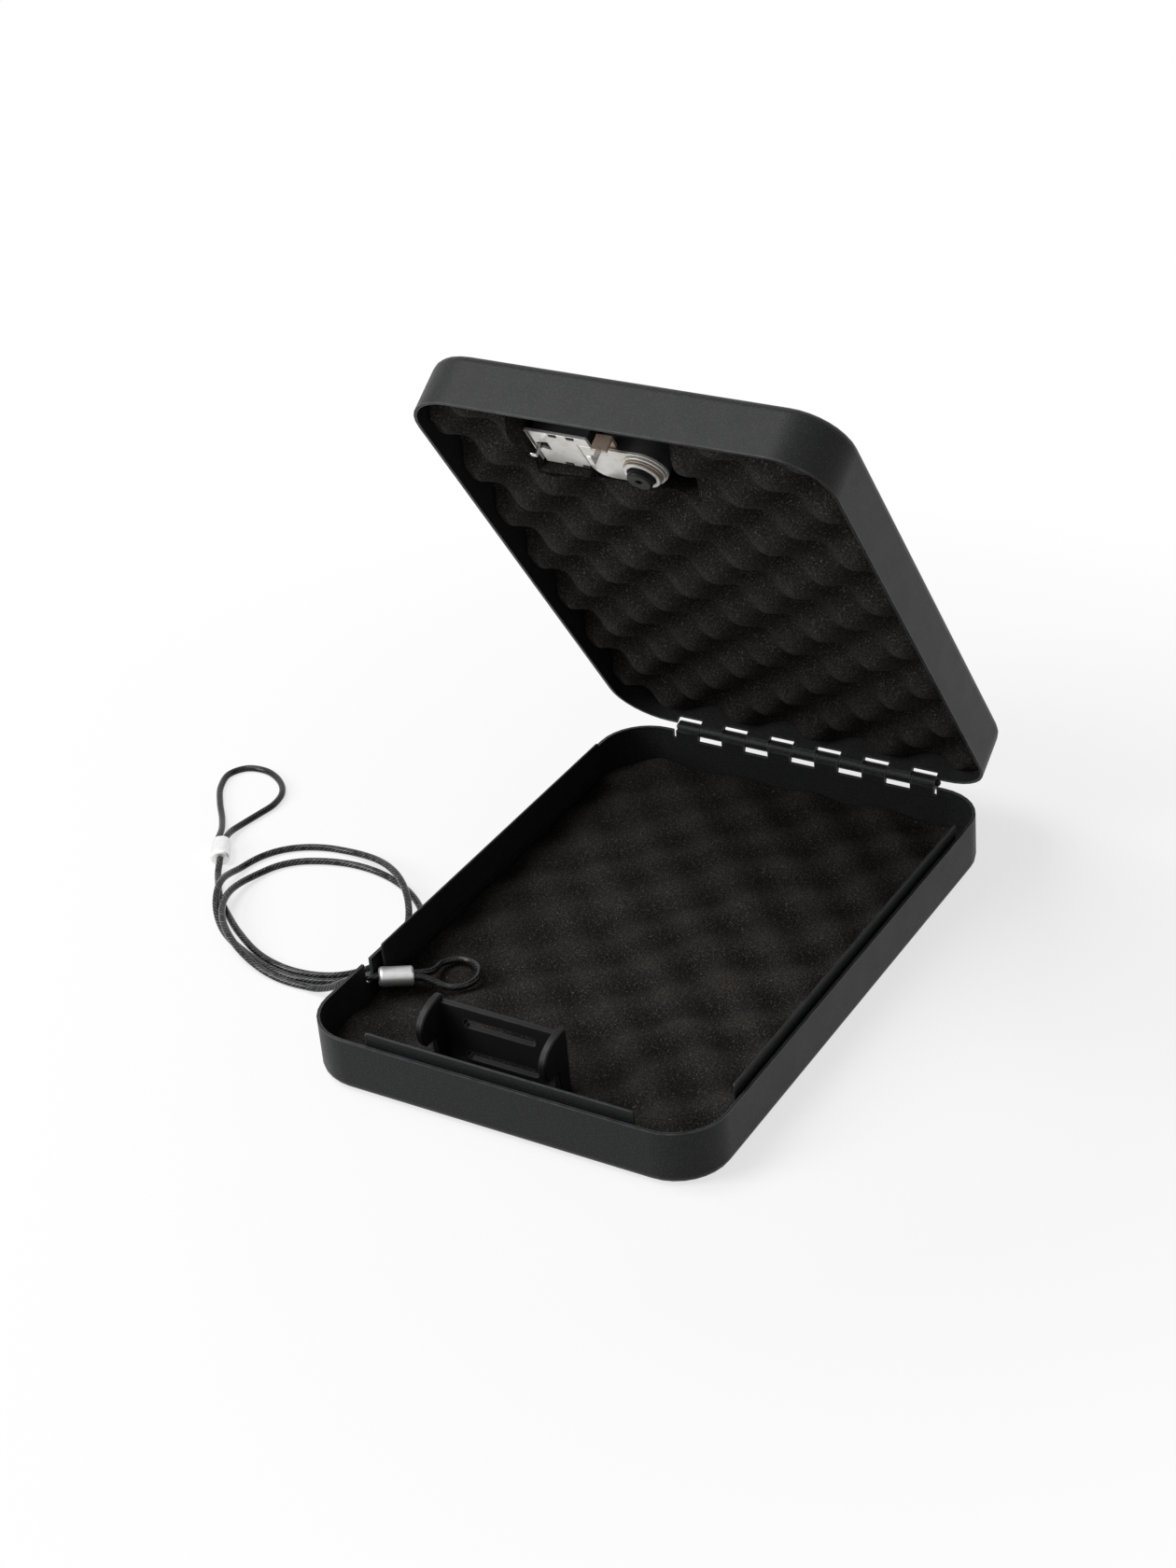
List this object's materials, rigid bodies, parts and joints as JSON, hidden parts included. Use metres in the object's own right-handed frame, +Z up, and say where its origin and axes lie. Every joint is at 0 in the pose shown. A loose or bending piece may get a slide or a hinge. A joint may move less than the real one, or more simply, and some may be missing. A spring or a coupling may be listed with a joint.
{
  "type": "portable car safe",
  "caption": "Flat steel lock box with a hinged lid, a number lock that hooks a moulded catch, foam lining and a looped security cable.",
  "frame": {"origin": "middle of the tray's flat underside, where it rests on a table or car floor", "axes": "+Z up, +X along the hinge towards the right wall, +Y from the front wall to the hinge"},
  "size_m": [0.3202, 0.2583, 0.234],
  "materials": {
    "black_steel": "satin",
    "foam": "matte",
    "moulded_black": "satin",
    "bright_steel": "polished",
    "zinc_plate": "satin",
    "lock_body": "matte",
    "bronze": "satin",
    "aluminium": "satin",
    "cable_cover": "gloss"
  },
  "bodies": {
    "tray": {"tray_shell": "black_steel", "front_lip": "black_steel", "right_lip": "black_steel", "left_lip": "black_steel", "hinge_pin": "black_steel", "tray_foam": "foam", "latch_catch": "moulded_black", "catch_rivet_1": "bright_steel", "catch_rivet_2": "bright_steel", "cable_eye_inner": "cable_cover", "ferrule_inner": "aluminium", "cable_lead": "cable_cover", "cable_coil": "cable_cover", "cable_tail": "cable_cover", "ferrule_outer": "aluminium", "cable_eye_outer": "cable_cover"},
    "lid": {"lid_shell": "black_steel", "lid_foam": "foam", "lock_case": "lock_body", "lock_bezel": "moulded_black", "lock_plate": "zinc_plate", "button_plate": "zinc_plate", "wheel_axle": "bright_steel", "wheel_detent": "bright_steel", "bezel_screw_1": "bright_steel", "bezel_screw_2": "bright_steel", "button_collar": "zinc_plate", "button_washer": "bronze", "button_nut": "zinc_plate", "button_spring": "bright_steel"},
    "open_button": {"button_cap": "moulded_black", "button_boss": "moulded_black"},
    "latch": {"latch_hook": "bronze"},
    "lever": {"reset_lever": "bright_steel"},
    "wheel_1": {"number_wheel_1": "moulded_black"},
    "wheel_2": {"number_wheel_2": "moulded_black"},
    "wheel_3": {"number_wheel_3": "moulded_black"}
  },
  "joints": [
    {"name": "lid_hinge", "type": "hinge", "parent": "tray", "child": "lid", "pos_m": [0, 0.123, 0.02215], "axis": [-1, 0, 0], "range_deg": [-55.8, 122]},
    {"name": "button_press", "type": "slide", "parent": "lid", "child": "open_button", "axis": [0, -0.8271, -0.5621], "range_m": [0, 0.003], "stiffness_N_per_m": 300, "springref_m": -0.001},
    {"name": "latch_slide", "type": "slide", "parent": "lid", "child": "latch", "axis": [0, 0.5621, -0.8271], "range_m": [0, 0.003]},
    {"name": "reset_slide", "type": "slide", "parent": "lid", "child": "lever", "axis": [1, 0, 0], "range_m": [0, 0.0025]},
    {"name": "wheel_1_turn", "type": "hinge", "parent": "lid", "child": "wheel_1", "pos_m": [-0.0382, 0.02436, 0.19995], "axis": [1, 0, 0], "continuous": true},
    {"name": "wheel_2_turn", "type": "hinge", "parent": "lid", "child": "wheel_2", "pos_m": [-0.0322, 0.02436, 0.19995], "axis": [1, 0, 0], "continuous": true},
    {"name": "wheel_3_turn", "type": "hinge", "parent": "lid", "child": "wheel_3", "pos_m": [-0.0262, 0.02436, 0.19995], "axis": [1, 0, 0], "continuous": true}
  ],
  "couplings": [
    {"joint": "latch_slide", "follows": "button_press", "ratio": 1}
  ]
}
